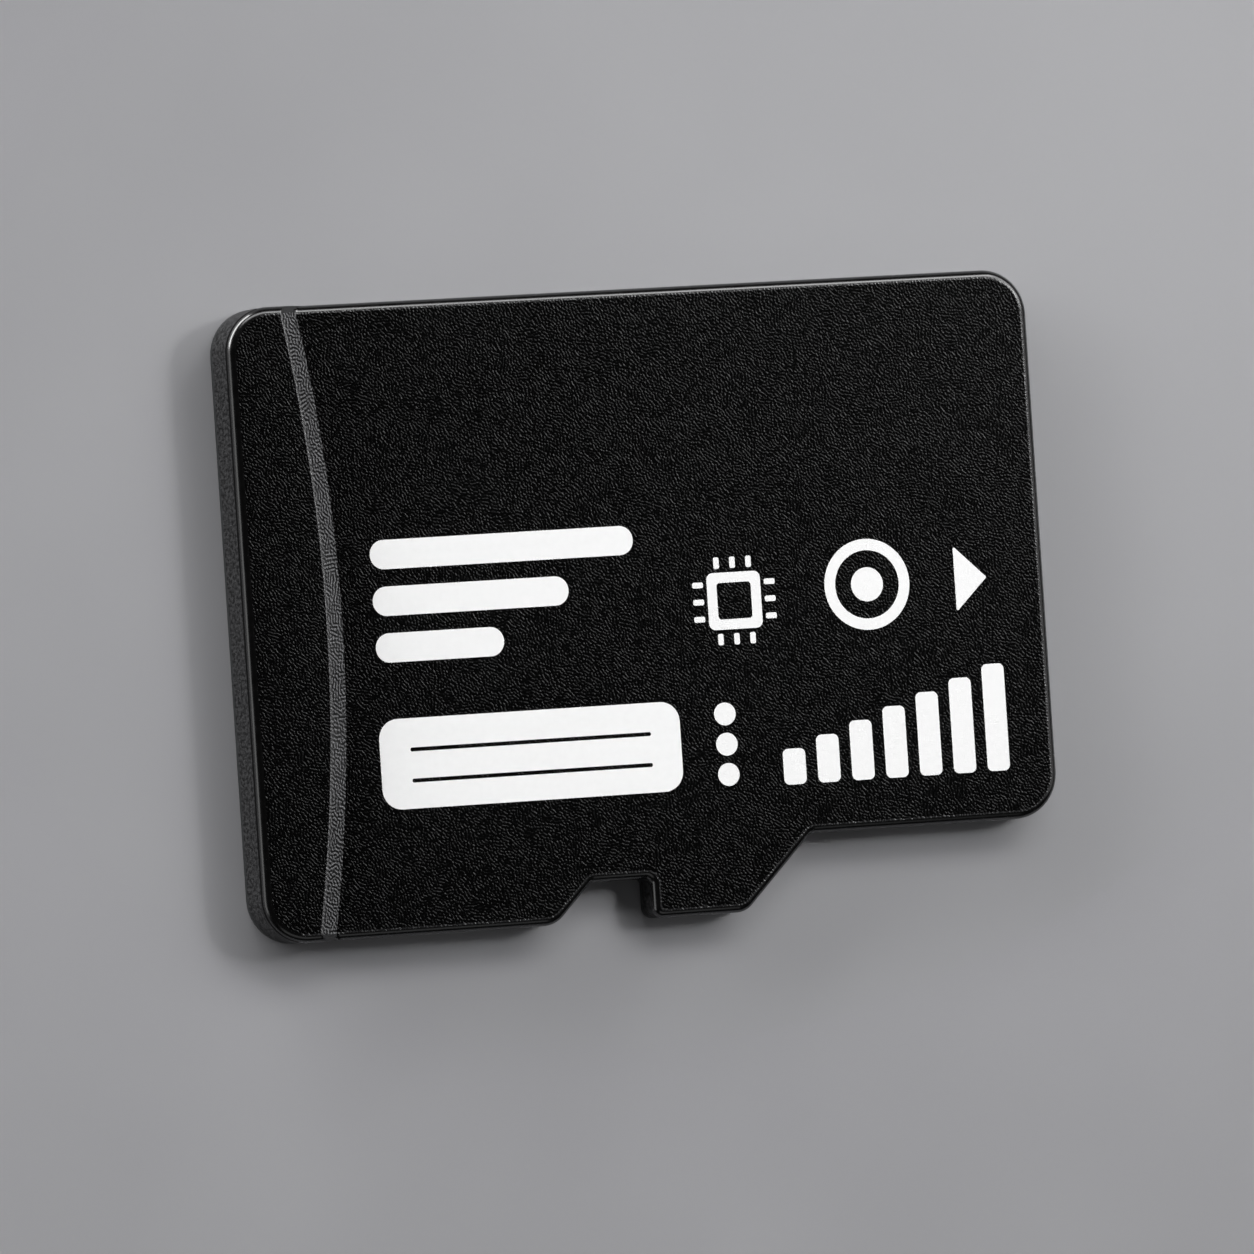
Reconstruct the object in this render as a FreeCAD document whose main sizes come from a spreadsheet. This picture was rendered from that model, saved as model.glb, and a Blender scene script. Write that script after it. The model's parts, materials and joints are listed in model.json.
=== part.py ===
import FreeCAD, Part
import math
import os

import Sketcher

# A memory card of the microSD size, lying flat with its label side up, in millimetres.
# X runs from the tail, which has the grip ridge, to the nose, which has the contacts. Y runs
# towards the straight side and Z up from the contact face. The origin is the middle of that face.

# Driving dimensions: alias, value, and what it measures
DIMENSIONS = [
    ("card_length", 15.0, "tail to nose"),
    ("card_width", 11.0, "straight side to notched side, at the tail"),
    ("card_thickness", 0.7, "contact face to label face"),
    ("nose_step", 1.3, "how much narrower the nose is than the tail"),
    ("ramp_angle", 45.0, "angle of the two ramps in the notched side"),
    ("tab_setback", 6.0, "nose to the start of the full-width tab"),
    ("tab_width", 1.75, "tab, between the nose ramp and the notch"),
    ("notch_flat", 1.1, "flat floor of the notch"),
    ("notch_depth", 0.7, "notch floor below the side"),
    ("corner_radius", 0.8, "four outer corners"),
    ("shoulder_radius", 0.5, "tail end of the notch ramp"),
    ("notch_root_radius", 0.1, "two inner corners of the notch"),
    ("notch_lip_radius", 0.2, "corner between tab and notch"),
    ("tab_radius", 0.4, "corner between tab and nose ramp"),
    ("neck_radius", 0.15, "inner corner at the top of the nose ramp"),
    ("front_edge_radius", 0.15, "rounded edge round the label side"),
    ("ridge_height", 0.3, "grip ridge above the label face"),
    ("ridge_length", 1.5, "tail to the crest of the ridge, on the centre line"),
    ("ridge_run", 0.36, "run of the slope from crest to label face"),
    ("ridge_radius", 30.0, "bow of the crest, seen from above"),
    ("crest_radius", 0.08, "rounded crest of the ridge"),
    ("board_thickness", 0.13, "contact board"),
    ("board_edge_break", 0.03, "chamfer round the contact face"),
    ("contact_width", 0.8, "one contact across the card"),
    ("contact_gap", 0.3, "board left between two contacts"),
    ("contact_inset", 0.52, "nose to the front of the two power contacts"),
    ("power_lead", 0.58, "power contacts ahead of the signal contacts"),
    ("contact_length", 2.9, "one signal contact along the card"),
    ("contact_corner_radius", 0.15, "corners of a contact"),
    ("contact_thickness", 0.03, "copper with its gold plating"),
    ("contact_recess", 0.01, "contact below the face of the board"),
    ("die_thickness", 0.08, "ground silicon die"),
    ("film_thickness", 0.02, "adhesive film under a die"),
    ("tail_margin", 0.65, "tail to the upper flash die"),
    ("side_margin", 0.35, "flash dies to the straight side, and to the nose's other side"),
    ("flash_step", 0.45, "upper flash die set back on the lower one"),
    ("bond_shelf", 0.9, "board between the flash dies and the controller"),
    ("controller_length", 2.4, "controller die along the card"),
    ("controller_width", 3.4, "controller die across the card"),
    ("nose_shelf", 1.2, "controller to nose"),
    ("passive_length", 0.6, "capacitor or resistor along the card"),
    ("passive_width", 0.3, "capacitor or resistor across the card"),
    ("passive_gap", 0.3, "between two passives in a row"),
    ("passive_spacing", 0.8, "controller to a row of passives"),
    ("capacitor_height", 0.3, "capacitor above the board"),
    ("resistor_height", 0.23, "resistor above the board"),
    ("band_length", 0.15, "metal end band of a passive"),
    ("band_thickness", 0.01, "end band proud of the ceramic"),
    ("wire_diameter", 0.025, "gold bond wire"),
    ("wire_loop", 0.12, "bond wire above the pad that it starts on"),
    ("bond_inset", 0.12, "bond pads from the edge of a die"),
    ("stitch_gap", 0.1, "between two bonds on one pad"),
    ("finger_reach", 0.25, "bond fingers on the board from the edge of a die"),
    ("edge_clearance", 0.04, "level part of a wire past the edge of its die"),
]

# Values worked out from the driving dimensions: alias and formula
DERIVED = [
    ("nose_width", "=card_width - nose_step"),
    ("nose_middle", "=nose_step / 2"),
    ("label_slab_height", "=card_thickness - board_thickness"),
    ("grip_slab_height", "=card_thickness + ridge_height - board_thickness"),
    ("edge_radius", "=min(front_edge_radius; 0.9 * notch_lip_radius)"),
    ("ridge_axis", "=ridge_length - ridge_radius - card_length / 2"),
    ("slope_foot", "=ridge_radius + ridge_run * (1 + card_thickness / ridge_height)"),
    ("contact_pitch", "=contact_width + contact_gap"),
    ("contact_rear", "=card_length / 2 - contact_inset - power_lead - contact_length"),
    ("power_contact_length", "=contact_length + power_lead"),
    ("window_depth", "=contact_recess + contact_thickness"),
    ("first_contact", "=nose_middle - 4 * contact_width - 3.5 * contact_gap"),
    ("flash_width", "=nose_width - 2 * side_margin"),
    ("flash_side", "=nose_middle - flash_width / 2"),
    ("upper_flash_tail", "=tail_margin - card_length / 2"),
    ("lower_flash_tail", "=upper_flash_tail + flash_step"),
    ("controller_nose", "=card_length / 2 - nose_shelf"),
    ("controller_tail", "=controller_nose - controller_length"),
    ("flash_length", "=controller_tail - bond_shelf - lower_flash_tail"),
    ("die_step", "=film_thickness + die_thickness"),
    ("passive_pitch", "=passive_length + passive_gap"),
    ("passive_offset", "=controller_width / 2 + passive_spacing + passive_width / 2"),
]

# Corners of the card's outline, anticlockwise from the tail end of the notched side
TAIL_LOW, SHOULDER, ROOT_TAIL, ROOT_NOSE, LIP, TAB, NECK, NOSE_LOW, NOSE_HIGH, TAIL_HIGH = range(10)
CORNER_ROUNDS = [
    ("corner_radius", [TAIL_LOW, NOSE_LOW, NOSE_HIGH, TAIL_HIGH]),
    ("shoulder_radius", [SHOULDER]),
    ("notch_root_radius", [ROOT_TAIL, ROOT_NOSE]),
    ("notch_lip_radius", [LIP]),
    ("tab_radius", [TAB]),
    ("neck_radius", [NECK]),
]

# Contacts in order from the notched side, with the sheet's length for each
CONTACTS = [
    ("dat2", "contact_length"),
    ("dat3", "contact_length"),
    ("cmd", "contact_length"),
    ("vdd", "power_contact_length"),
    ("clk", "contact_length"),
    ("vss", "power_contact_length"),
    ("dat0", "contact_length"),
    ("dat1", "contact_length"),
]

FLASH_WIRES = 9
CONTROLLER_WIRES = 7
WIRE_SIDES = 6
NEAR = 1e-4

Vector = FreeCAD.Vector
doc = FreeCAD.newDocument("memory_card")
sheet = doc.addObject("Spreadsheet::Sheet", "Size")
sub_parts = []


def fill_sheet():
    """Write the driving dimensions and the formulas, one aliased cell each."""
    rows = [(alias, str(value), note) for alias, value, note in DIMENSIONS]
    rows += [(alias, formula, "") for alias, formula in DERIVED]
    for row, (alias, content, note) in enumerate(rows, start=1):
        sheet.set(f"A{row}", note)
        sheet.set(f"B{row}", content)
        sheet.setAlias(f"B{row}", alias)
    doc.recompute()


def size(alias):
    return float(sheet.get(alias))


def sub_part(part, label):
    part.Label = label
    sub_parts.append(part)
    return part


def new_sketch(body, name, role):
    plane = next(f for f in body.Origin.OriginFeatures if f.Role == role)
    sketch = body.newObject("Sketcher::SketchObject", name)
    sketch.AttachmentSupport = [(plane, "")]
    sketch.MapMode = "FlatFace"
    return sketch


def measure(sketch, kind, *points, by):
    """Add a dimension to a sketch and bind it to an expression of the sheet's values."""
    value = float(sketch.evalExpression(by))
    if kind == "Angle":
        value = math.radians(value)
    index = sketch.addConstraint(Sketcher.Constraint(kind, *points, value))
    sketch.setExpression(f"Constraints[{index}]", by)


def closed_polygon(sketch, points):
    """Draw a closed run of lines and return the number of its first line."""
    count = len(points)
    lines = [Part.LineSegment(points[k], points[(k + 1) % count]) for k in range(count)]
    first = sketch.addGeometry(lines, False)[0]
    for k in range(count):
        sketch.addConstraint(Sketcher.Constraint("Coincident", first + k, 2, first + (k + 1) % count, 1))
    return first


def edge_names(shape, wanted):
    return [f"Edge{n}" for n, edge in enumerate(shape.Edges, start=1) if wanted(edge)]


def level_edges(shape, height):
    """Edges that lie in the horizontal plane at a height."""
    return edge_names(
        shape, lambda e: max(abs(e.BoundBox.ZMin - height), abs(e.BoundBox.ZMax - height)) < NEAR
    )


def upright_edges(shape, places):
    """Vertical edges that stand on one of the places."""
    def on_place(edge):
        box = edge.BoundBox
        if box.ZLength < NEAR or max(box.XLength, box.YLength) > NEAR:
            return False
        return any(math.hypot(box.XMin - p.x, box.YMin - p.y) < NEAR for p in places)
    return edge_names(shape, on_place)


def dress_edges(body, kind, name, edges, prop, by):
    """Add a fillet or chamfer on edges of the body's last feature."""
    base = body.Tip
    feature = body.newObject(kind, name)
    feature.Base = (base, edges)
    feature.setExpression(prop, by)
    doc.recompute()
    return feature


def outline_corners():
    """The sharp corners of the card's outline, before they are rounded."""
    nose = size("card_length") / 2
    side = -size("card_width") / 2
    ramp = math.tan(math.radians(size("ramp_angle")))
    tab = nose - size("tab_setback")
    lip = tab - size("tab_width")
    root = lip - size("notch_flat")
    neck_side = side + size("nose_step")
    floor = side + size("notch_depth")
    return [
        Vector(-nose, side),
        Vector(root - size("notch_depth") / ramp, side),
        Vector(root, floor),
        Vector(lip, floor),
        Vector(lip, side),
        Vector(tab, side),
        Vector(tab + size("nose_step") / ramp, neck_side),
        Vector(nose, neck_side),
        Vector(nose, -side),
        Vector(-nose, -side),
    ]


def outline_sketch(body, base):
    """The card's outline with sharp corners, at a height above the contact face."""
    sketch = new_sketch(body, "outline", "XY_Plane")
    sketch.setExpression("AttachmentOffset.Base.z", base)
    closed_polygon(sketch, outline_corners())
    for line in (TAIL_LOW, ROOT_TAIL, LIP, NECK, NOSE_HIGH):
        sketch.addConstraint(Sketcher.Constraint("Horizontal", line))
    for line in (ROOT_NOSE, NOSE_LOW, TAIL_HIGH):
        sketch.addConstraint(Sketcher.Constraint("Vertical", line))
    sketch.addConstraint(Sketcher.Constraint("Horizontal", SHOULDER, 1, LIP, 1))
    sketch.addConstraint(Sketcher.Constraint("Symmetric", TAIL_LOW, 1, NOSE_HIGH, 1, -1, 1))
    measure(sketch, "DistanceX", TAIL_HIGH, 1, NOSE_HIGH, 1, by="Size.card_length")
    measure(sketch, "DistanceY", TAIL_LOW, 1, TAIL_HIGH, 1, by="Size.card_width")
    measure(sketch, "DistanceY", TAB, 1, NECK, 1, by="Size.nose_step")
    measure(sketch, "DistanceX", TAB, 1, NOSE_LOW, 1, by="Size.tab_setback")
    measure(sketch, "DistanceX", LIP, 1, TAB, 1, by="Size.tab_width")
    measure(sketch, "DistanceX", ROOT_TAIL, 1, ROOT_NOSE, 1, by="Size.notch_flat")
    measure(sketch, "DistanceY", LIP, 1, ROOT_NOSE, 1, by="Size.notch_depth")
    measure(sketch, "Angle", SHOULDER, by="Size.ramp_angle")
    measure(sketch, "Angle", TAB, by="Size.ramp_angle")
    return sketch


def card_slab(name, base, height):
    """A slab with the card's outline and rounded corners."""
    body = doc.addObject("PartDesign::Body", name)
    slab = body.newObject("PartDesign::Pad", "slab")
    slab.Profile = outline_sketch(body, base)
    slab.setExpression("Length", height)
    doc.recompute()
    corners = outline_corners()
    for radius, places in CORNER_ROUNDS:
        edges = upright_edges(body.Tip.Shape, [corners[place] for place in places])
        dress_edges(body, "PartDesign::Fillet", radius, edges, "Radius", f"Size.{radius}")
    return body


def round_label_edge(body):
    """Round the edge between the top of a slab and its side."""
    edges = level_edges(body.Tip.Shape, body.Tip.Shape.BoundBox.ZMax)
    dress_edges(body, "PartDesign::Fillet", "label_edge", edges, "Radius", "Size.edge_radius")


def grip_slab():
    """The tail of the card up to the bowed slope of the grip ridge."""
    body = card_slab("grip_slab", "Size.board_thickness", "Size.grip_slab_height")
    round_label_edge(body)
    whole = body.Shape.Volume
    profile = new_sketch(body, "slope", "XZ_Plane")
    profile.setExpression("AttachmentOffset.Base.x", "Size.ridge_axis")
    crest = Vector(size("ridge_radius"), size("card_thickness") + size("ridge_height"))
    far = size("ridge_radius") + size("card_length")
    foot = Vector(size("slope_foot"), 0)
    closed_polygon(profile, [crest, foot, Vector(far, 0), Vector(far, crest.y)])
    profile.addConstraint(Sketcher.Constraint("Horizontal", 1))
    profile.addConstraint(Sketcher.Constraint("Vertical", 2))
    profile.addConstraint(Sketcher.Constraint("Horizontal", 3))
    measure(profile, "DistanceX", -1, 1, 0, 1, by="Size.ridge_radius")
    measure(profile, "DistanceY", -1, 1, 0, 1, by="Size.card_thickness + Size.ridge_height")
    measure(profile, "DistanceX", -1, 1, 1, 1, by="Size.slope_foot")
    measure(profile, "DistanceX", -1, 1, 2, 1, by="Size.ridge_radius + Size.card_length")
    profile.addConstraint(Sketcher.Constraint("PointOnObject", 1, 1, -1))
    groove = body.newObject("PartDesign::Groove", "label_side")
    groove.Profile = profile
    groove.ReferenceAxis = (profile, ["V_Axis"])
    groove.Angle = 360
    doc.recompute()
    require_cut(whole, body, "grip_slab")
    edges = edge_names(body.Tip.Shape, is_crest)
    dress_edges(body, "PartDesign::Fillet", "crest", edges, "Radius", "Size.crest_radius")
    return body


def is_crest(edge):
    curve = edge.Curve
    return isinstance(curve, Part.Circle) and abs(curve.Radius - size("ridge_radius")) < NEAR


def require_cut(before, body, name):
    if body.Shape.Volume > before * (1 - NEAR):
        raise RuntimeError(f"{name}: a cut removed nothing")


def contact_rectangle(sketch, index, length):
    """One contact in a sketch whose origin is the rear corner of the first contact."""
    low = index * size("contact_pitch")
    high = low + size("contact_width")
    long = size(length)
    first = closed_polygon(
        sketch, [Vector(0, low), Vector(long, low), Vector(long, high), Vector(0, high)]
    )
    for line in (first, first + 2):
        sketch.addConstraint(Sketcher.Constraint("Horizontal", line))
    for line in (first + 1, first + 3):
        sketch.addConstraint(Sketcher.Constraint("Vertical", line))
    sketch.addConstraint(Sketcher.Constraint("PointOnObject", first, 1, -2))
    measure(sketch, "DistanceX", first, 1, first, 2, by=f"Size.{length}")
    measure(sketch, "DistanceY", first, 1, first + 3, 1, by="Size.contact_width")
    if index == 0:
        sketch.addConstraint(Sketcher.Constraint("PointOnObject", first, 1, -1))
    else:
        measure(sketch, "DistanceY", -1, 1, first, 1, by=f"{index} * Size.contact_pitch")


def contact_sketch(body, base):
    sketch = new_sketch(body, "contacts", "XY_Plane")
    sketch.setExpression("AttachmentOffset.Base.x", "Size.contact_rear")
    sketch.setExpression("AttachmentOffset.Base.y", "Size.first_contact")
    sketch.setExpression("AttachmentOffset.Base.z", base)
    return sketch


def contact_corners(index, length):
    rear = size("contact_rear")
    low = size("first_contact") + index * size("contact_pitch")
    across = [low, low + size("contact_width")]
    return [Vector(x, y) for x in (rear, rear + size(length)) for y in across]


def contact_board():
    """The laminate board: the card's outline, with a shallow window for each contact."""
    body = card_slab("contact_board", "0 * Size.board_thickness", "Size.board_thickness")
    edges = level_edges(body.Tip.Shape, 0)
    dress_edges(body, "PartDesign::Chamfer", "edge_break", edges, "Size", "Size.board_edge_break")
    whole = body.Shape.Volume
    windows = contact_sketch(body, "0 * Size.board_thickness")
    for index, (name, length) in enumerate(CONTACTS):
        contact_rectangle(windows, index, length)
    pocket = body.newObject("PartDesign::Pocket", "windows")
    pocket.Profile = windows
    pocket.Reversed = True
    pocket.setExpression("Length", "Size.window_depth")
    doc.recompute()
    require_cut(whole, body, "contact_board")
    places = [p for index, (name, length) in enumerate(CONTACTS) for p in contact_corners(index, length)]
    edges = upright_edges(body.Tip.Shape, places)
    dress_edges(
        body, "PartDesign::Fillet", "window_corners", edges, "Radius", "Size.contact_corner_radius"
    )
    return sub_part(body, "contact_board")


def contact(index, name, length):
    """One gold-plated contact, seated in its window a little below the board's face."""
    body = doc.addObject("PartDesign::Body", f"contact_{name}")
    outline = contact_sketch(body, "Size.contact_recess")
    contact_rectangle(outline, index, length)
    plate = body.newObject("PartDesign::Pad", "plate")
    plate.Profile = outline
    plate.setExpression("Length", "Size.contact_thickness")
    doc.recompute()
    edges = upright_edges(body.Tip.Shape, contact_corners(index, length))
    dress_edges(body, "PartDesign::Fillet", "corners", edges, "Radius", "Size.contact_corner_radius")
    return sub_part(body, f"contact_{name}")


def block(name, extent, place):
    """A rectangular block whose three sizes and corner are bound to the sheet."""
    box = doc.addObject("Part::Box", name)
    for prop, by in zip(("Length", "Width", "Height"), extent):
        box.setExpression(prop, by)
    for axis, by in zip("xyz", place):
        box.setExpression(f"Placement.Base.{axis}", by)
    return box


def die_on_film(name, film_name, extent, corner, base):
    """A die and the adhesive film of the same outline under it."""
    film = block(film_name, (*extent, "Size.film_thickness"), (*corner, base))
    die = block(name, (*extent, "Size.die_thickness"), (*corner, f"{base} + Size.film_thickness"))
    return [sub_part(film, film_name), sub_part(die, name)]


def dies():
    flash = ("Size.flash_length", "Size.flash_width")
    controller = ("Size.controller_length", "Size.controller_width")
    board = "Size.board_thickness"
    pieces = die_on_film(
        "lower_flash_die", "lower_die_film", flash, ("Size.lower_flash_tail", "Size.flash_side"), board
    )
    pieces += die_on_film(
        "upper_flash_die", "upper_die_film", flash, ("Size.upper_flash_tail", "Size.flash_side"),
        f"{board} + Size.die_step",
    )
    corner = ("Size.controller_tail", "Size.nose_middle - Size.controller_width / 2")
    return pieces + die_on_film("controller_die", "controller_film", controller, corner, board)


def passive(name, height, along, side):
    """A ceramic chip with two metal end bands, which stand a little proud of it."""
    tail = (
        "Size.controller_nose - Size.controller_length / 2 - Size.passive_length / 2"
        f" + {along} * Size.passive_pitch"
    )
    low = f"Size.nose_middle + {side} * Size.passive_offset - Size.passive_width / 2"
    board = "Size.board_thickness"
    chip = block(
        f"{name}_chip",
        ("Size.passive_length", "Size.passive_width - 2 * Size.band_thickness",
         f"{height} - Size.band_thickness"),
        (tail, f"{low} + Size.band_thickness", board),
    )
    band = ("Size.band_length", "Size.passive_width", height)
    tail_band = block(f"{name}_tail_band", band, (tail, low, board))
    nose_tail = f"{tail} + Size.passive_length - Size.band_length"
    nose_band = block(f"{name}_nose_band", band, (nose_tail, low, board))
    part = doc.addObject("Part::MultiFuse", name)
    part.Shapes = [chip, tail_band, nose_band]
    part.Refine = True
    return sub_part(part, name)


def passives():
    """Three capacitors beside the controller, and two resistors on its other side."""
    capacitors = [passive(f"capacitor_{n}", "Size.capacitor_height", n - 2, 1) for n in (1, 2, 3)]
    resistors = [passive(f"resistor_{n}", "Size.resistor_height", n - 1.5, -1) for n in (1, 2)]
    return capacitors + resistors


def bond_wire(start, end, level):
    """A wire that rises from a pad, runs level over the die's edge and drops to its other end."""
    heading = math.copysign(1, end.x - start.x)
    run = abs(end.x - start.x)
    top = start.z + size("wire_loop")
    drop = math.atan2(top - end.z, run - level)
    radius = size("wire_diameter") / 2
    rings = [[], [], [], []]
    for k in range(WIRE_SIDES):
        turn = 2 * math.pi * k / WIRE_SIDES
        out = radius * math.cos(turn)
        across = start.y + radius * math.sin(turn)
        bend = level + out * math.tan(drop / 2)
        landing = bend + (top + out - end.z) / math.tan(drop)
        path = [(-out, start.z), (-out, top + out), (bend, top + out), (landing, end.z)]
        for ring, (along, height) in zip(rings, path):
            ring.append(Vector(start.x + heading * along, across, height))
    faces = [Part.Face(Part.makePolygon(ring + ring[:1])) for ring in (rings[0], rings[-1])]
    for near_ring, far_ring in zip(rings, rings[1:]):
        for k in range(WIRE_SIDES):
            n = (k + 1) % WIRE_SIDES
            corners = [near_ring[k], near_ring[n], far_ring[n], far_ring[k], near_ring[k]]
            faces.append(Part.Face(Part.makePolygon(corners)))
    wire = Part.Solid(Part.Shell(faces))
    if wire.Volume < 0:
        wire.reverse()
    return wire


def wire_group(name, solids):
    group = doc.addObject("Part::Feature", name)
    group.Shape = Part.Compound(solids)
    group.Placement = FreeCAD.Placement()
    return sub_part(group, name)


def flash_bond_wires():
    """At each place one wire from the upper to the lower die, and one on to the board."""
    board = size("board_thickness")
    lower_top = board + size("die_step")
    upper_top = lower_top + size("die_step")
    inset = size("bond_inset")
    level = inset + size("edge_clearance")
    lower_edge = size("lower_flash_tail") + size("flash_length")
    upper_edge = lower_edge - size("flash_step")
    lower_pad = lower_edge - inset
    solids = []
    for k in range(FLASH_WIRES):
        y = size("flash_side") + size("flash_width") * (k + 1) / (FLASH_WIRES + 1)
        stitch = Vector(lower_pad - size("stitch_gap"), y, lower_top)
        solids.append(bond_wire(Vector(upper_edge - inset, y, upper_top), stitch, level))
        finger = Vector(lower_edge + size("finger_reach"), y, board)
        solids.append(bond_wire(Vector(lower_pad, y, lower_top), finger, level))
    return wire_group("flash_bond_wires", solids)


def controller_bond_wires():
    """A row of wires to the board on the tail side of the controller and one on its nose side."""
    board = size("board_thickness")
    top = board + size("die_step")
    inset = size("bond_inset")
    level = inset + size("edge_clearance")
    solids = []
    for edge, heading in ((size("controller_tail"), -1), (size("controller_nose"), 1)):
        for k in range(CONTROLLER_WIRES):
            share = (k + 1) / (CONTROLLER_WIRES + 1) - 0.5
            y = size("nose_middle") + size("controller_width") * share
            pad = Vector(edge - heading * inset, y, top)
            finger = Vector(edge + heading * size("finger_reach"), y, board)
            solids.append(bond_wire(pad, finger, level))
    return wire_group("controller_bond_wires", solids)


def mould_body(inside):
    """The epoxy body: label slab and grip ridge, moulded round all that stands on the board."""
    label = card_slab("label_slab", "Size.board_thickness", "Size.label_slab_height")
    round_label_edge(label)
    blank = doc.addObject("Part::Fuse", "mould_blank")
    blank.Base = label
    blank.Tool = grip_slab()
    blank.Refine = True
    filling = doc.addObject("Part::Compound", "filling")
    filling.Links = inside
    body = doc.addObject("Part::Cut", "mould_body")
    body.Base = blank
    body.Tool = filling
    return sub_part(body, "mould_body")


def check_document():
    for item in doc.Objects:
        if "Invalid" in item.State or "Error" in item.State:
            raise RuntimeError(f"{item.Label}: {item.State}")
    for part in sub_parts:
        if part.Shape.isNull() or not part.Shape.isValid():
            raise RuntimeError(f"{part.Label}: its shape is null or not valid")


def write_parts():
    os.makedirs("parts", exist_ok=True)
    for part in sub_parts:
        part.Shape.exportStep(f"parts/{part.Label}.step")
        print(f"{part.Label}: {len(part.Shape.Solids)} solids, {part.Shape.Volume:.5f} mm3")


fill_sheet()
contact_board()
for place, (contact_name, contact_size) in enumerate(CONTACTS):
    contact(place, contact_name, contact_size)
sealed = dies() + passives() + [flash_bond_wires(), controller_bond_wires()]
mould_body(sealed)
doc.recompute()
check_document()
write_parts()
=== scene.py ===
import json
import math

import bmesh
import bpy
from mathutils import Matrix, Vector


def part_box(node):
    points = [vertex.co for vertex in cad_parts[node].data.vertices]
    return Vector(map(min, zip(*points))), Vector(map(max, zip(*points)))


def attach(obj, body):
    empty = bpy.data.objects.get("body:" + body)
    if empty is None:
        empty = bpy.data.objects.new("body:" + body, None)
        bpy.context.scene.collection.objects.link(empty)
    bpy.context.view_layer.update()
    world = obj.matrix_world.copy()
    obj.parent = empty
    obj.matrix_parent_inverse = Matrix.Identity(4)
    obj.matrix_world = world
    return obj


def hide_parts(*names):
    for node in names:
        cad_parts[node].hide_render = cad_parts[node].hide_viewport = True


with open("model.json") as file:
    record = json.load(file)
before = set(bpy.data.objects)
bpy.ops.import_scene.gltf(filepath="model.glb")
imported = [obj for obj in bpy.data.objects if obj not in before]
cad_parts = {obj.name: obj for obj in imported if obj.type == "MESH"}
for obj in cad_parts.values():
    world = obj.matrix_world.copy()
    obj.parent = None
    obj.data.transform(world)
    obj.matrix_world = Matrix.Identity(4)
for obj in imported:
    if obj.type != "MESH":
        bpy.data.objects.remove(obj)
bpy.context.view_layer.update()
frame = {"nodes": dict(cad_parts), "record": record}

# The card lies flat in the frame of its CAD model. Sizes are in millimetres, as in the model's
# source, and a mesh is scaled to metres when it is made.
MM = 0.001

# Heights and half sizes that the frame gives
MOULD_LOW, MOULD_HIGH = [Vector(corner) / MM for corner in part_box("mould_body")]
HALF_LENGTH = MOULD_HIGH.x
HALF_WIDTH = MOULD_HIGH.y
BOARD_TOP = MOULD_LOW.z
RIDGE_TOP = MOULD_HIGH.z
MOUNTS = {mount["name"]: mount for mount in frame["record"]["mounts"]}
LABEL = MOUNTS["label_face"]["pos_m"][2] / MM

# Sizes of the outline and of the grip ridge, as in the model's source
NOSE_STEP = 1.3
TAB_SETBACK = 6.0
TAB_WIDTH = 1.75
NOTCH_FLAT = 1.1
NOTCH_DEPTH = 0.7
CORNER_RADIUS = 0.8
SHOULDER_RADIUS = 0.5
NOTCH_ROOT_RADIUS = 0.1
NOTCH_LIP_RADIUS = 0.2
TAB_RADIUS = 0.4
NECK_RADIUS = 0.15
EDGE_RADIUS = 0.15
RIDGE_LENGTH = 1.5
RIDGE_RUN = 0.36
RIDGE_RADIUS = 30.0
CREST_RADIUS = 0.08

# How finely the moulding is drawn
ARC_STEPS = 20
EDGE_STEPS = 8
CREST_STEPS = 5
RAMP_SHARES = (0.25, 0.5, 0.75)
RIDGE_COLUMNS = 64
SIDE_STOP_GAP = 0.03
SUPPORT = 0.02
SHARP_ANGLE = math.radians(28)

# Geometry that follows from those sizes
RIM_HALF_WIDTH = HALF_WIDTH - EDGE_RADIUS - SUPPORT
RIDGE_AXIS = RIDGE_LENGTH - RIDGE_RADIUS - HALF_LENGTH
SLOPE = (RIDGE_TOP - LABEL) / RIDGE_RUN
SLOPE_ANGLE = math.atan(SLOPE)
CREST_START = RIDGE_RADIUS - CREST_RADIUS * math.tan(SLOPE_ANGLE / 2)
CREST_END = CREST_START + CREST_RADIUS * math.sin(SLOPE_ANGLE)
FOOT = RIDGE_RADIUS + RIDGE_RUN

# Material zones of the moulding, how far from the tail its rim stays smooth, and how many rings of
# the rounded edge there belong to the parting line
FACE, EDGE, RIM, RAMP, CREST, WALL, SEAM = range(7)
TAIL_RIM_END = 0.6
SEAM_STEPS = 2

# Grain of the epoxy: heading across the wrinkles, how far it swings and how wide a whorl is
GRAIN_TURN = math.radians(42)
GRAIN_SWING = math.radians(28)
GRAIN_WHORL = 0.5
# Wrinkles on the faces and on the ridge's slope: distance between two, length, how alike they run,
# and the part of the pattern's range over which they rise
FACE_WRINKLE = (0.059, 0.108, 0.5, 0.48, 0.7)
RAMP_WRINKLE = (0.067, 0.18, 0.35, 0.46, 0.62)
# Grain of the side wall: its size along the card, across it and upwards, and the part of the
# pattern's range over which it rises
WALL_GRAIN = (0.06, 0.06, 0.1)
WALL_RANGE = (0.38, 0.62)
# The part of a noise's range that the wrinkles' heading and the plainer finishes' roughness follow
NOISE_RANGE = (0.3, 0.7)
# How much blue the epoxy's grey has for one part of red and of green
EPOXY_BLUE = 1.03

# Thickness of the white ink on the label face
INK_THICKNESS = 0.008

# Half the length of the table's sides, in metres
TABLE_HALF = 2.0

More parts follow.
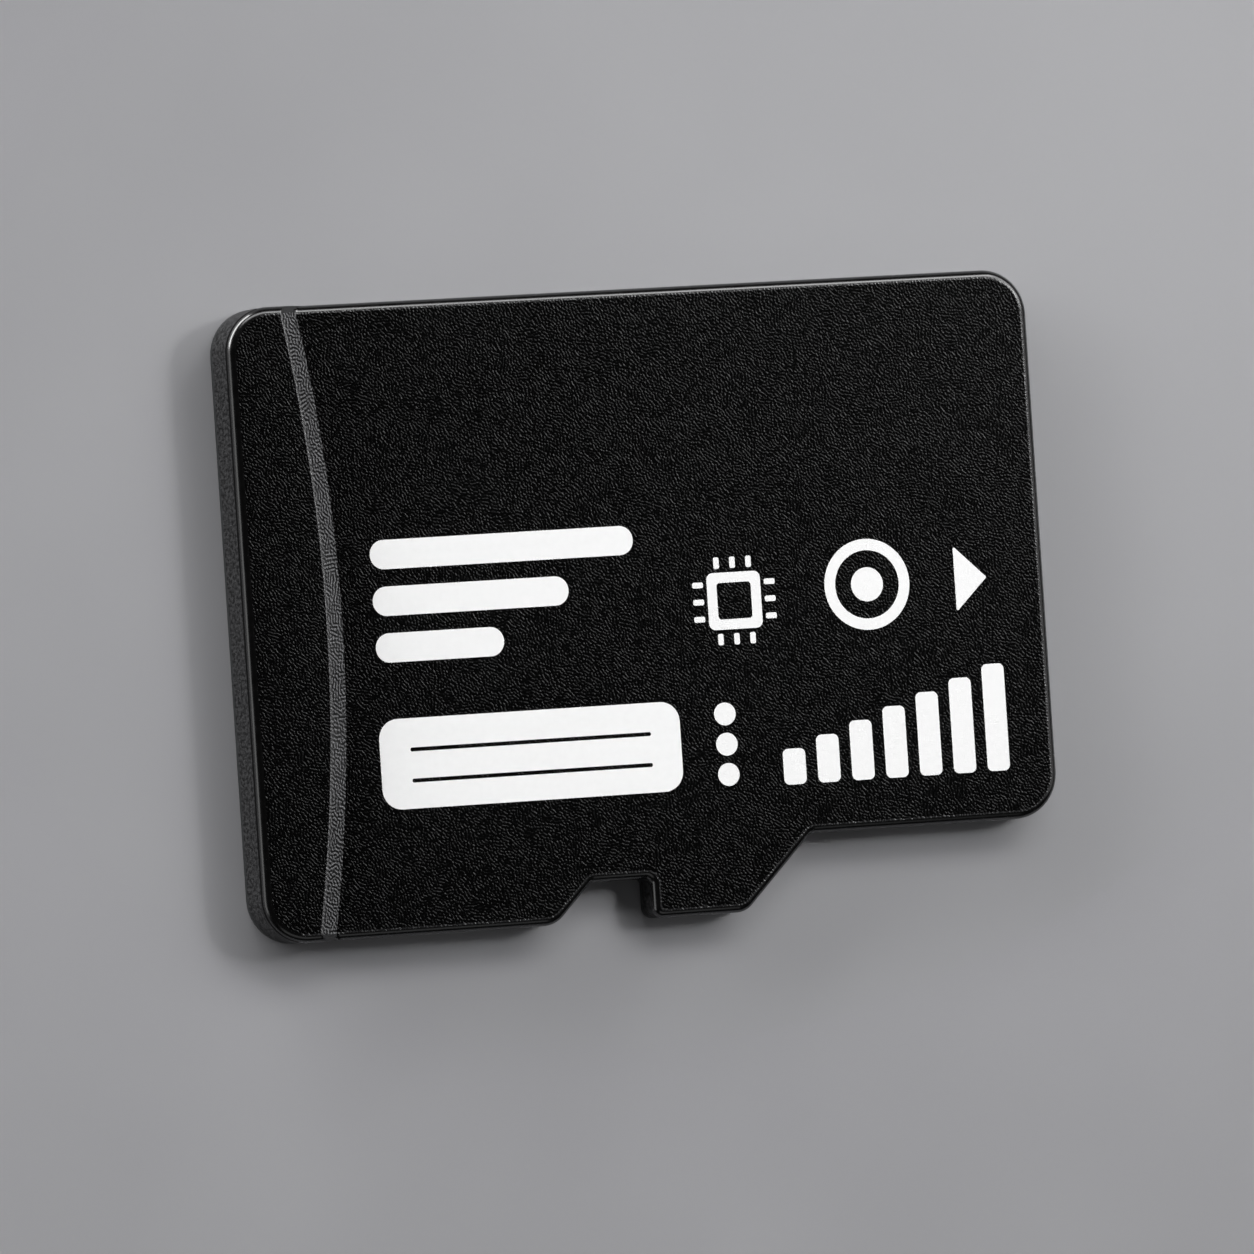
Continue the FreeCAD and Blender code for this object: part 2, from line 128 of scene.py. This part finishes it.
# Soft boxes: name, azimuth and elevation in degrees, distance, width and height in metres, radiance,
# and for the one with a grid the place it looks at and its spread in degrees
SOFT_BOXES = [
    ("main_box", 36, 40, 0.5, 0.34, 0.26, 3.7),
    ("arc_box", 80, 44, 0.5, 0.45, 0.16, 4.4),
    ("nose_box", 0, 34, 0.5, 0.30, 0.32, 0.6),
    ("tail_box", 180, 13, 0.5, 0.50, 0.20, 1.4),
    ("corner_box", 132, 10, 0.5, 0.62, 0.16, 14.0),
    ("fill_box", 270, 40, 0.5, 0.40, 0.20, 0.4),
    ("grain_box", 21, 49, 0.1, 0.02, 0.02, 28.0, (5, 5), 30),
]
WORLD_LEVEL = 0.02

# Photo camera, fitted on the card's own corners
CAMERA_EYE = Vector((-77.97, -3.00, 211.45))
CAMERA_TURN = [math.radians(angle) for angle in (2.0571, -20.1144, -4.0406)]
CAMERA_LENS = 369.8
CAMERA_SENSOR = 36.0
CAMERA_CLIP = 1.0


def outline_corners():
    """Sharp corners of the outline with their radii, anticlockwise from the tail."""
    side = -HALF_WIDTH
    tab = HALF_LENGTH - TAB_SETBACK
    lip = tab - TAB_WIDTH
    root = lip - NOTCH_FLAT
    floor = side + NOTCH_DEPTH
    neck = side + NOSE_STEP
    return [
        (Vector((-HALF_LENGTH, side)), CORNER_RADIUS),
        (Vector((root - NOTCH_DEPTH, side)), SHOULDER_RADIUS),
        (Vector((root, floor)), NOTCH_ROOT_RADIUS),
        (Vector((lip, floor)), NOTCH_ROOT_RADIUS),
        (Vector((lip, side)), NOTCH_LIP_RADIUS),
        (Vector((tab, side)), TAB_RADIUS),
        (Vector((tab + NOSE_STEP, neck)), NECK_RADIUS),
        (Vector((HALF_LENGTH, neck)), CORNER_RADIUS),
        (Vector((HALF_LENGTH, HALF_WIDTH)), CORNER_RADIUS),
        (Vector((-HALF_LENGTH, HALF_WIDTH)), CORNER_RADIUS),
    ]


def rounded_corner(before, corner, after, radius):
    """Points round one corner of an anticlockwise outline, each with its inward normal."""
    inward = (corner - before).normalized()
    outward = (after - corner).normalized()
    turn = math.atan2(inward.x * outward.y - inward.y * outward.x, inward.dot(outward))
    side = math.copysign(1, turn)
    normal = Vector((-inward.y, inward.x))
    start = corner - inward * radius * math.tan(abs(turn) / 2)
    centre = start + normal * radius * side
    points = []
    for k in range(ARC_STEPS + 1):
        spin = Matrix.Rotation(turn * k / ARC_STEPS, 2)
        here = spin @ normal
        points.append((centre - here * radius * side, here))
    return points


def ridge_lines():
    """Distances from the ridge's axis at which the slope is drawn, from crest to foot."""
    crest = [
        CREST_START + CREST_RADIUS * math.sin(SLOPE_ANGLE * k / CREST_STEPS) for k in range(CREST_STEPS + 1)
    ]
    middle = [CREST_END + (FOOT - CREST_END) * share for share in RAMP_SHARES]
    return crest + middle + [FOOT]


def ridge_line_x(reach, y):
    """Place along the card of a point at a distance from the ridge's axis."""
    return RIDGE_AXIS + math.sqrt(reach * reach - y * y)


def side_stops():
    """Places along the two long sides where the ends of the ridge need points."""
    exact = [ridge_line_x(reach, RIM_HALF_WIDTH) for reach in ridge_lines()]
    beyond = round(2 * EDGE_RADIUS / SIDE_STOP_GAP)
    return exact + [exact[-1] + SIDE_STOP_GAP * k for k in range(1, beyond + 1)]


def outline():
    """The rounded outline as points with inward normals, and extra points beside the ridge."""
    corners = outline_corners()
    count = len(corners)
    stops = side_stops()
    points = []
    for k, (corner, radius) in enumerate(corners):
        before = corners[k - 1][0]
        after = corners[(k + 1) % count][0]
        points += rounded_corner(before, corner, after, radius)
        end, normal = points[-1]
        # The notched side starts after the first corner, the straight side after the last but one
        if k == 0:
            points += [(Vector((x, end.y)), normal) for x in stops]
        if k == count - 2:
            points += [(Vector((x, end.y)), normal) for x in reversed(stops)]
    return points


def ridge_profile(reach):
    """Height of the ridge's top and slope at a distance from the ridge's axis."""
    if reach <= CREST_START:
        return RIDGE_TOP
    if reach < CREST_END:
        along = reach - CREST_START
        return RIDGE_TOP - CREST_RADIUS + math.sqrt(CREST_RADIUS**2 - along**2)
    return RIDGE_TOP - (reach - RIDGE_RADIUS) * SLOPE


def surface(point, inset):
    """Height of the moulding's top at a point that lies inset from the outline."""
    rest = max(EDGE_RADIUS - inset, 0)
    drop = EDGE_RADIUS - math.sqrt(EDGE_RADIUS**2 - rest**2)
    reach = math.hypot(point.x - RIDGE_AXIS, point.y)
    return max(LABEL - drop, min(RIDGE_TOP - drop, ridge_profile(reach)))


def link_object(name, mesh):
    piece = bpy.data.objects.new(name, mesh)
    bpy.context.scene.collection.objects.link(piece)
    return piece


def moulding():
    """The moulded body: side wall, rounded edge, ridge top, bowed slope and label face."""
    bm = bmesh.new()
    path = outline()
    count = len(path)
    insets = [EDGE_RADIUS * (1 - math.cos(math.pi / 2 * k / EDGE_STEPS)) for k in range(EDGE_STEPS + 1)]
    insets.append(EDGE_RADIUS + SUPPORT)
    rings = [[bm.verts.new((*point, BOARD_TOP)) for point, normal in path]]
    for inset in insets:
        places = [point + normal * inset for point, normal in path]
        rings.append([bm.verts.new((*place, surface(place, inset))) for place in places])

    def face(corners, zone):
        made = bm.faces.new(corners)
        made.material_index = zone
        made.smooth = True

    for level, (low, high) in enumerate(zip(rings, rings[1:])):
        for k in range(count):
            n = (k + 1) % count
            zone = ring_zone(level, (path[k][0].x + path[n][0].x) / 2)
            face([low[k], low[n], high[n], high[k]], zone)
    face(list(reversed(rings[0])), WALL)
    slope_and_faces(bm, rings[-1], face)
    bmesh.ops.scale(bm, vec=(MM, MM, MM), verts=bm.verts)
    mesh = bpy.data.meshes.new("moulding")
    bm.to_mesh(mesh)
    bm.free()
    mesh.set_sharp_from_angle(angle=SHARP_ANGLE)
    for material in zone_materials():
        mesh.materials.append(material)
    body = link_object("moulding", mesh)
    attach(body, "root")
    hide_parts("mould_body")


def ring_zone(level, x):
    """Material zone of a ring: wall, smooth rounded edge with a painted highlight on its inner rim, then
    face or slope.
    """
    if level == 0:
        return WALL
    by_tail = x < TAIL_RIM_END - HALF_LENGTH
    if level < EDGE_STEPS:
        return SEAM if by_tail and level <= SEAM_STEPS else EDGE
    if ridge_line_x(CREST_START, RIM_HALF_WIDTH) < x < ridge_line_x(FOOT, RIM_HALF_WIDTH):
        return CREST if x < ridge_line_x(CREST_END, RIM_HALF_WIDTH) else RAMP
    if level > EDGE_STEPS:
        return FACE
    return EDGE if by_tail else RIM


def slope_and_faces(bm, rim, face):
    """Fill the rim: the slope as a grid between its lines, then ridge top and label face."""
    lines = ridge_lines()
    # The crest meets the rim after the first corner and before the last one
    crest_low = ARC_STEPS + 1
    crest_high = len(rim) - ARC_STEPS - 2
    grid = []
    for row, reach in enumerate(lines):
        line = [rim[crest_low + row]]
        for column in range(1, RIDGE_COLUMNS):
            y = RIM_HALF_WIDTH * (2 * column / RIDGE_COLUMNS - 1)
            line.append(bm.verts.new((ridge_line_x(reach, y), y, ridge_profile(reach))))
        line.append(rim[crest_high - row])
        grid.append(line)
    for row, (near, far) in enumerate(zip(grid, grid[1:])):
        zone = CREST if row < CREST_STEPS else RAMP
        for k in range(RIDGE_COLUMNS):
            face([near[k], far[k], far[k + 1], near[k + 1]], zone)
    foot_low = crest_low + len(lines) - 1
    foot_high = crest_high - len(lines) + 1
    face(rim[foot_low:foot_high + 1] + grid[-1][-2:0:-1], FACE)
    face(rim[crest_high:] + rim[:crest_low + 1] + grid[0][1:-1], FACE)


def add_node(tree, kind, values=(), links=(), **settings):
    """One shader node with its settings, socket values and incoming links."""
    node = tree.nodes.new(kind)
    for name, value in settings.items():
        setattr(node, name, value)
    for socket, value in dict(values).items():
        node.inputs[socket].default_value = value
    for socket, source in dict(links).items():
        tree.links.new(source, node.inputs[socket])
    return node


def place_in_mm(tree):
    where = add_node(tree, "ShaderNodeTexCoord")
    return add_node(
        tree, "ShaderNodeVectorMath", {"Scale": 1 / MM}, {0: where.outputs["Object"]}, operation="SCALE"
    ).outputs["Vector"]


def noise(tree, stretch, detail):
    """Noise over millimetres, stretched along the axes, from 0 to 1."""
    mapped = add_node(
        tree, "ShaderNodeMapping", {"Scale": stretch}, {"Vector": place_in_mm(tree)}, vector_type="TEXTURE"
    )
    made = add_node(
        tree, "ShaderNodeTexNoise", {"Scale": 1.0, "Detail": detail}, {"Vector": mapped.outputs["Vector"]}
    )
    return made.outputs["Fac"]


def spread(tree, source, low, high, to_low, to_high):
    """Map a range of a value to another range."""
    return add_node(
        tree, "ShaderNodeMapRange",
        {"From Min": low, "From Max": high, "To Min": to_low, "To Max": to_high}, {"Value": source},
    ).outputs["Result"]


def wrinkles(tree, gap, length, alike, low, high):
    """Short wrinkles over millimetres, from 0 to 1, whose heading swings from whorl to whorl."""
    place = place_in_mm(tree)
    slow = add_node(
        tree, "ShaderNodeTexNoise", {"Scale": 1 / GRAIN_WHORL, "Detail": 1.0}, {"Vector": place}
    )
    heading = spread(
        tree, slow.outputs["Fac"], *NOISE_RANGE, GRAIN_TURN - GRAIN_SWING, GRAIN_TURN + GRAIN_SWING
    )
    made = add_node(
        tree, "ShaderNodeTexGabor",
        {"Scale": 1 / length, "Frequency": length / gap, "Anisotropy": alike},
        {"Vector": place, "Orientation": heading},
        gabor_type="2D",
    )
    return spread(tree, made.outputs["Value"], low, high, 0.0, 1.0)


def two_tones(tree, source, dark, light):
    ramp = add_node(tree, "ShaderNodeValToRGB", (), {"Fac": source})
    ramp.color_ramp.elements[0].color = (*dark, 1)
    ramp.color_ramp.elements[1].color = (*light, 1)
    return ramp.outputs["Color"]


def bump(tree, height, strength, depth):
    return add_node(
        tree, "ShaderNodeBump", {"Strength": strength, "Distance": depth * MM}, {"Height": height}
    ).outputs["Normal"]


def grey(level):
    """A grey of the epoxy, which is very slightly blue."""
    return (level, level, level * EPOXY_BLUE)


def new_material(name, sockets):
    """A material with its node tree and shader, and the shader's values that are the same all over."""
    made = bpy.data.materials.new(name)
    made.use_nodes = True
    tree = made.node_tree
    shader = tree.nodes["Principled BSDF"]
    for socket, value in sockets.items():
        shader.inputs[socket].default_value = value
    return made, tree, shader


def grained_epoxy(name, tones, depth, rough, wrinkle=None, specular=0.5):
    """Black epoxy with the wrinkles of a spark-eroded mould, or with the wall's even grain."""
    made, tree, shader = new_material(name, {"Specular IOR Level": specular})
    if wrinkle:
        height = wrinkles(tree, *wrinkle)
    else:
        height = spread(tree, noise(tree, WALL_GRAIN, detail=2.0), *WALL_RANGE, 0.0, 1.0)
    colour = two_tones(tree, height, *[grey(tone) for tone in tones])
    tree.links.new(colour, shader.inputs["Base Color"])
    tree.links.new(spread(tree, height, 0.0, 1.0, *rough), shader.inputs["Roughness"])
    tree.links.new(bump(tree, height, 1.0, depth), shader.inputs["Normal"])
    return made


def mottled(name, grain, tones, rough, relief=None, detail=3.0, **sockets):
    """A material of two tones whose roughness and relief, a strength and a depth, follow one noise."""
    made, tree, shader = new_material(name, sockets)
    film = noise(tree, grain, detail)
    tree.links.new(two_tones(tree, film, *tones), shader.inputs["Base Color"])
    tree.links.new(spread(tree, film, *NOISE_RANGE, *rough), shader.inputs["Roughness"])
    if relief:
        tree.links.new(bump(tree, film, *relief), shader.inputs["Normal"])
    return made


def zone_materials():
    """The finishes of the epoxy, in the order of the moulding's zones."""
    # Label face and ridge top: grained, with little gloss
    face = grained_epoxy("mould_face", (0.0007, 0.0034), 0.0036, (0.19, 0.27), FACE_WRINKLE, 0.115)
    # Rounded edge: smooth, from a polished part of the mould
    edge = mottled(
        "mould_edge", (0.2, 0.2, 0.2), (grey(0.0004), grey(0.001)), (0.16, 0.22), (0.15, 0.004),
        **{"Specular IOR Level": 0.8},
    )
    # Where face and rounded edge meet: a lighter band, a painted highlight along the inner edge of the
    # rounding
    rim = grained_epoxy("mould_rim_painted_highlight", (0.012, 0.042), 0.003, (0.24, 0.32), FACE_WRINKLE)
    # The ridge's slope: the same grain, coarser, on a grey ground that is painted light, standing for the
    # light the slope catches
    ramp = grained_epoxy("mould_ramp_painted_light", (0.008, 0.19), 0.008, (0.36, 0.44), RAMP_WRINKLE, 0.25)
    # The ridge's crest: painted lighter still, a painted highlight along the crest
    crest = grained_epoxy("mould_crest_painted_highlight", (0.02, 0.14), 0.004, (0.36, 0.44), RAMP_WRINKLE)
    # The side wall: fine even grain, a little greyer than the face
    wall = grained_epoxy("mould_wall", (0.0005, 0.032), 0.006, (0.4, 0.5), specular=0.22)
    # Where the tail's wall meets the rounded edge: the matt black trace of the mould's parting
    seam = mottled(
        "mould_seam", (0.1, 0.1, 0.1), (grey(0.0005), grey(0.002)), (0.5, 0.6), (0.3, 0.004),
        detail=2.0, **{"Specular IOR Level": 0.08},
    )
    return [face, edge, rim, ramp, crest, wall, seam]


def dress_nodes():
    """Materials for the CAD nodes that stay in view or sealed inside, by the record's slots."""
    sealed = (0.08, 0.08, 0.08)
    slots = {
        # Black solder mask with a faint orange peel
        "board": mottled(
            "solder_mask", (0.3, 0.3, 0.3), ((0.006, 0.007, 0.007), (0.014, 0.016, 0.016)), (0.3, 0.42),
            (0.3, 0.004),
        ),
        # Plated gold with fine lengthwise rubbing marks
        "gold": mottled(
            "plated_gold", (0.9, 0.02, 0.02), ((0.72, 0.49, 0.16), (0.86, 0.64, 0.26)), (0.2, 0.36),
            (0.2, 0.002), Metallic=1.0,
        ),
        "film": mottled(
            "attach_film", sealed, ((0.52, 0.45, 0.30), (0.66, 0.58, 0.40)), (0.54, 0.66)
        ),
        "silicon": mottled(
            "silicon", sealed, ((0.16, 0.17, 0.20), (0.26, 0.27, 0.31)), (0.19, 0.31), Metallic=0.6
        ),
        "ceramic": mottled(
            "chip_ceramic", sealed, ((0.36, 0.28, 0.20), (0.50, 0.40, 0.30)), (0.39, 0.51)
        ),
    }
    for subpart in frame["record"]["subparts"]:
        if subpart["material_slot"] in slots:
            mesh = frame["nodes"][subpart["node"]].data
            mesh.materials.clear()
            mesh.materials.append(slots[subpart["material_slot"]])


def rounded_loop(corners, radius, steps=8):
    """Closed loop of points from convex corners, each rounded by the same radius."""
    points = []
    count = len(corners)
    for k in range(count):
        corner = Vector(corners[k])
        back = (Vector(corners[k - 1]) - corner).normalized()
        ahead = (Vector(corners[(k + 1) % count]) - corner).normalized()
        half = back.angle(ahead) / 2
        centre = corner + (back + ahead).normalized() * radius / math.sin(half)
        start = corner + back * radius / math.tan(half) - centre
        turn = math.pi - 2 * half
        for step in range(steps + 1):
            points.append(centre + Matrix.Rotation(turn * step / steps, 2) @ start)
    return points


def bar(left, right, low, high, radius):
    return rounded_loop([(left, low), (right, low), (right, high), (left, high)], radius)


def circle(x, y, radius, steps=64):
    turns = [2 * math.pi * k / steps for k in range(steps)]
    return [Vector((x + radius * math.cos(turn), y + radius * math.sin(turn))) for turn in turns]


def ink_piece(name, loops, material):
    """A film of ink on the label face from closed loops, where an inner loop is a hole."""
    curve = bpy.data.curves.new(name, "CURVE")
    curve.dimensions = "2D"
    curve.fill_mode = "BOTH"
    curve.extrude = INK_THICKNESS / 2 * MM
    for loop in loops:
        spline = curve.splines.new("POLY")
        spline.points.add(len(loop) - 1)
        for place, point in zip(spline.points, loop):
            place.co = (point.x * MM, point.y * MM, 0, 1)
        spline.use_cyclic_u = True
    drawn = bpy.data.objects.new(name + "_drawn", curve)
    mesh = bpy.data.meshes.new_from_object(drawn)
    mesh.transform(Matrix.Translation((0, 0, (LABEL + INK_THICKNESS / 2) * MM)))
    bpy.data.objects.remove(drawn)
    bpy.data.curves.remove(curve)
    mesh.materials.clear()
    mesh.materials.append(material)
    piece = link_object(name, mesh)
    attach(piece, "root")


def stripe_loops():
    """Three bars, each shorter than the one above."""
    left = -5.06
    height = 0.51
    radius = 0.25
    ends = [(-0.20, 0.86), (-1.45, 0.05), (-2.70, -0.76)]
    return [bar(left, right, low, low + height, radius) for right, low in ends]


def panel_loops():
    """A panel to write on, with two ruled lines left open in it."""
    panel = bar(left=-5.11, right=0.45, low=-3.31, high=-1.74, radius=0.35)
    rule_height = 0.07
    rules = [bar(-4.55, -0.10, low, low + rule_height, radius=0.03) for low in (-2.32, -2.86)]
    return [panel] + rules


def dot_loops():
    """Three dots in a column."""
    x = 1.30
    radius = 0.2
    return [circle(x, y, radius) for y in (-3.08, -2.55, -2.02)]


def gauge_loops():
    """Seven bars that rise towards the nose."""
    left = 2.33
    width = 0.42
    pitch = 0.64
    low = -3.33
    first_top = -2.70
    rise = 0.21
    radius = 0.1
    return [
        bar(left + pitch * k, left + width + pitch * k, low, first_top + rise * k, radius) for k in range(7)
    ]


def disc_loops():
    """A ring with a dot in it."""
    x, y = 4.12, 0.09
    return [circle(x, y, radius) for radius in (0.8, 0.6, 0.3)]


def chip_loops():
    """The outline of a chip, open in the middle, with three pins on each side."""
    pin_width = 0.1
    pin_length = 0.2
    pin_radius = 0.03
    loops = [
        bar(left=1.12, right=2.12, low=-0.55, high=0.45, radius=0.12),
        bar(left=1.30, right=1.94, low=-0.37, high=0.27, radius=0.06),
    ]
    for step in (-0.3, 0.0, 0.3):
        x = 1.57 + step
        y = -0.10 + step
        loops += [bar(x, x + pin_width, low, low + pin_length, pin_radius) for low in (-0.82, 0.52)]
        loops += [bar(left, left + pin_length, y, y + pin_width, pin_radius) for left in (0.85, 2.19)]
    return loops


def arrow_loops():
    """A plain arrow head that points to the nose, which goes in first."""
    corners = [(5.78, 0.67), (5.78, -0.49), (6.38, 0.09)]
    return [rounded_loop(corners, radius=0.02, steps=3)]


def label_print():
    """Plain white marks of matt screen ink in the places where such a card is printed."""
    ink = mottled(
        "white_ink", (0.12, 0.12, 0.12), ((0.90, 0.90, 0.90), (0.95, 0.95, 0.95)), (0.45, 0.6), (0.2, 0.003)
    )
    ink_piece("ink_stripes", stripe_loops(), ink)
    ink_piece("ink_panel", panel_loops(), ink)
    ink_piece("ink_dots", dot_loops(), ink)
    ink_piece("ink_gauge", gauge_loops(), ink)
    ink_piece("ink_disc", disc_loops(), ink)
    ink_piece("ink_chip", chip_loops(), ink)
    ink_piece("ink_arrow", arrow_loops(), ink)


def table_top():
    """A pale satin table."""
    bm = bmesh.new()
    bmesh.ops.create_grid(bm, x_segments=1, y_segments=1, size=TABLE_HALF)
    mesh = bpy.data.meshes.new("table_top")
    bm.to_mesh(mesh)
    bm.free()
    mesh.materials.append(
        mottled("table", (6.0, 6.0, 6.0), ((0.32, 0.32, 0.335), (0.36, 0.36, 0.375)), (0.4, 0.5), detail=2.0)
    )
    table = link_object("table_top", mesh)


def soft_box(name, azimuth, elevation, distance, width, height, radiance, aim=(0, 0), grid=180):
    """A soft box that looks at the card from an azimuth, counted from +X, and an elevation."""
    half = math.radians(grid) / 2
    lamp = bpy.data.lights.new(name, "AREA")
    lamp.shape = "RECTANGLE"
    lamp.size = width
    lamp.size_y = height
    lamp.spread = 2 * half
    # A grid narrows the beam and keeps its power, so the power comes down for the same radiance
    lamp.energy = radiance * math.pi * width * height * (1 - half / math.tan(half))
    box = bpy.data.objects.new(name, lamp)
    turn = math.radians(azimuth)
    rise = math.radians(elevation)
    level = distance * math.cos(rise)
    box.location = (level * math.cos(turn), level * math.sin(turn), distance * math.sin(rise))
    look = box.location - Vector((*aim, 0)) * MM
    box.rotation_euler = look.to_track_quat("Z", "Y").to_euler()
    box.visible_camera = False
    bpy.context.scene.collection.objects.link(box)


def lights():
    for values in SOFT_BOXES:
        soft_box(*values)
    world = bpy.data.worlds.new("studio")
    world.use_nodes = True
    background = world.node_tree.nodes["Background"]
    background.inputs["Color"].default_value = (1, 1, 1, 1)
    background.inputs["Strength"].default_value = WORLD_LEVEL
    bpy.context.scene.world = world


def photo_camera():
    lens = bpy.data.cameras.new("photo_camera")
    lens.sensor_width = CAMERA_SENSOR
    lens.lens = CAMERA_LENS
    lens.clip_start = CAMERA_CLIP * MM
    camera = bpy.data.objects.new("photo_camera", lens)
    camera.location = CAMERA_EYE * MM
    camera.rotation_euler = CAMERA_TURN
    bpy.context.scene.collection.objects.link(camera)
    bpy.context.scene.camera = camera


moulding()
dress_nodes()
label_print()
table_top()
lights()
photo_camera()
bpy.context.scene.view_settings.view_transform = "Standard"
